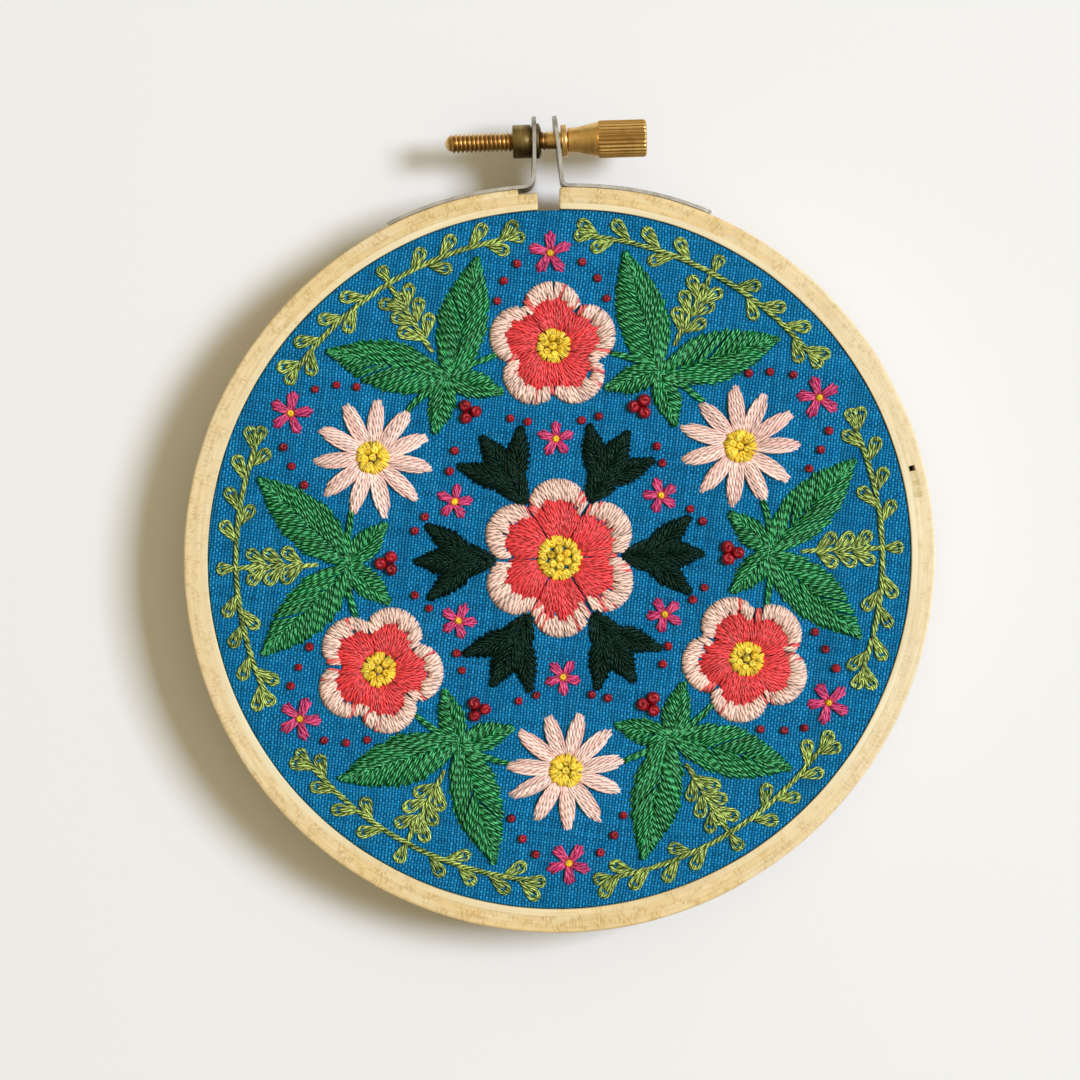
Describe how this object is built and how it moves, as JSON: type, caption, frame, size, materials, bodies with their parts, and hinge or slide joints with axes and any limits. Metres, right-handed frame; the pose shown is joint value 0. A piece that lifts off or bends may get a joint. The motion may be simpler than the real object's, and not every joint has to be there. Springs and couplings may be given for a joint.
{
  "type": "hoop embroidery art, stitched cloth built together with its wooden hoop",
  "caption": "Round piece of blue cotton stitched with a floral garland, held drum-tight in a two-ring wooden embroidery hoop closed by a brass thumbscrew.",
  "frame": {"origin": "under the middle of the whole outline, on the plane the hoop's back lies on; the hoop's centre is 5.09 mm along -Y from it", "axes": "+Z out of the stitched face, +Y towards the thumbscrew, +X along the screw towards its knob"},
  "size_m": [0.1098, 0.1196, 0.0091],
  "materials": {
    "beech_outer": "laminated beech strip, sanded, unvarnished",
    "beech_inner": "laminated beech strip, sanded, unvarnished",
    "cotton": "plain-weave quilting cotton, medium blue",
    "bracket_steel": "bent steel strip, dull",
    "nut_brass": "turned brass, tarnished brown",
    "screw_brass": "turned brass, aged, bright on the knurls",
    "emerald_thread": "stranded cotton floss, emerald",
    "bottle_thread": "stranded cotton floss, bottle green",
    "lime_thread": "stranded cotton floss, lime and olive",
    "coral_thread": "stranded cotton floss, coral with blush tips",
    "blush_thread": "stranded cotton floss, blush pink",
    "yellow_thread": "stranded cotton floss, yellow knots",
    "magenta_thread": "stranded cotton floss, magenta",
    "crimson_thread": "stranded cotton floss, crimson knots"
  },
  "bodies": {
    "hoop": {"outer_ring": "beech_outer", "inner_ring": "beech_inner", "cloth": "cotton", "left_bracket": "bracket_steel", "right_bracket": "bracket_steel", "nut": "nut_brass", "centre_petals": "coral_thread", "centre_eye": "yellow_thread", "petals_1": "blush_thread", "eye_1": "yellow_thread", "spray_1": "emerald_thread", "sprig_1": "lime_thread", "dark_leaf_1": "bottle_thread", "berries_1": "crimson_thread", "outer_flower_1": "magenta_thread", "inner_flower_1": "magenta_thread", "petals_2": "coral_thread", "eye_2": "yellow_thread", "spray_2": "emerald_thread", "sprig_2": "lime_thread", "dark_leaf_2": "bottle_thread", "berries_2": "crimson_thread", "outer_flower_2": "magenta_thread", "inner_flower_2": "magenta_thread", "petals_3": "blush_thread", "eye_3": "yellow_thread", "spray_3": "emerald_thread", "sprig_3": "lime_thread", "dark_leaf_3": "bottle_thread", "berries_3": "crimson_thread", "outer_flower_3": "magenta_thread", "inner_flower_3": "magenta_thread", "petals_4": "coral_thread", "eye_4": "yellow_thread", "spray_4": "emerald_thread", "sprig_4": "lime_thread", "dark_leaf_4": "bottle_thread", "berries_4": "crimson_thread", "outer_flower_4": "magenta_thread", "inner_flower_4": "magenta_thread", "petals_5": "blush_thread", "eye_5": "yellow_thread", "spray_5": "emerald_thread", "sprig_5": "lime_thread", "dark_leaf_5": "bottle_thread", "berries_5": "crimson_thread", "outer_flower_5": "magenta_thread", "inner_flower_5": "magenta_thread", "petals_6": "coral_thread", "eye_6": "yellow_thread", "spray_6": "emerald_thread", "sprig_6": "lime_thread", "dark_leaf_6": "bottle_thread", "berries_6": "crimson_thread", "outer_flower_6": "magenta_thread", "inner_flower_6": "magenta_thread"},
    "washer": {"washer": "screw_brass"},
    "screw": {"screw": "screw_brass"}
  },
  "joints": [
    {"name": "screw_travel", "type": "slide", "parent": "hoop", "child": "washer", "axis": [1, 0, 0], "range_m": [0, 0.01333]},
    {"name": "screw_turn", "type": "hinge", "parent": "washer", "child": "screw", "pos_m": [0, 0.05631, 0.004], "axis": [1, 0, 0], "range_deg": [0, 7560]}
  ],
  "couplings": [
    {"joint": "screw_turn", "follows": "screw_travel", "rad_per_m": 9894.8}
  ]
}
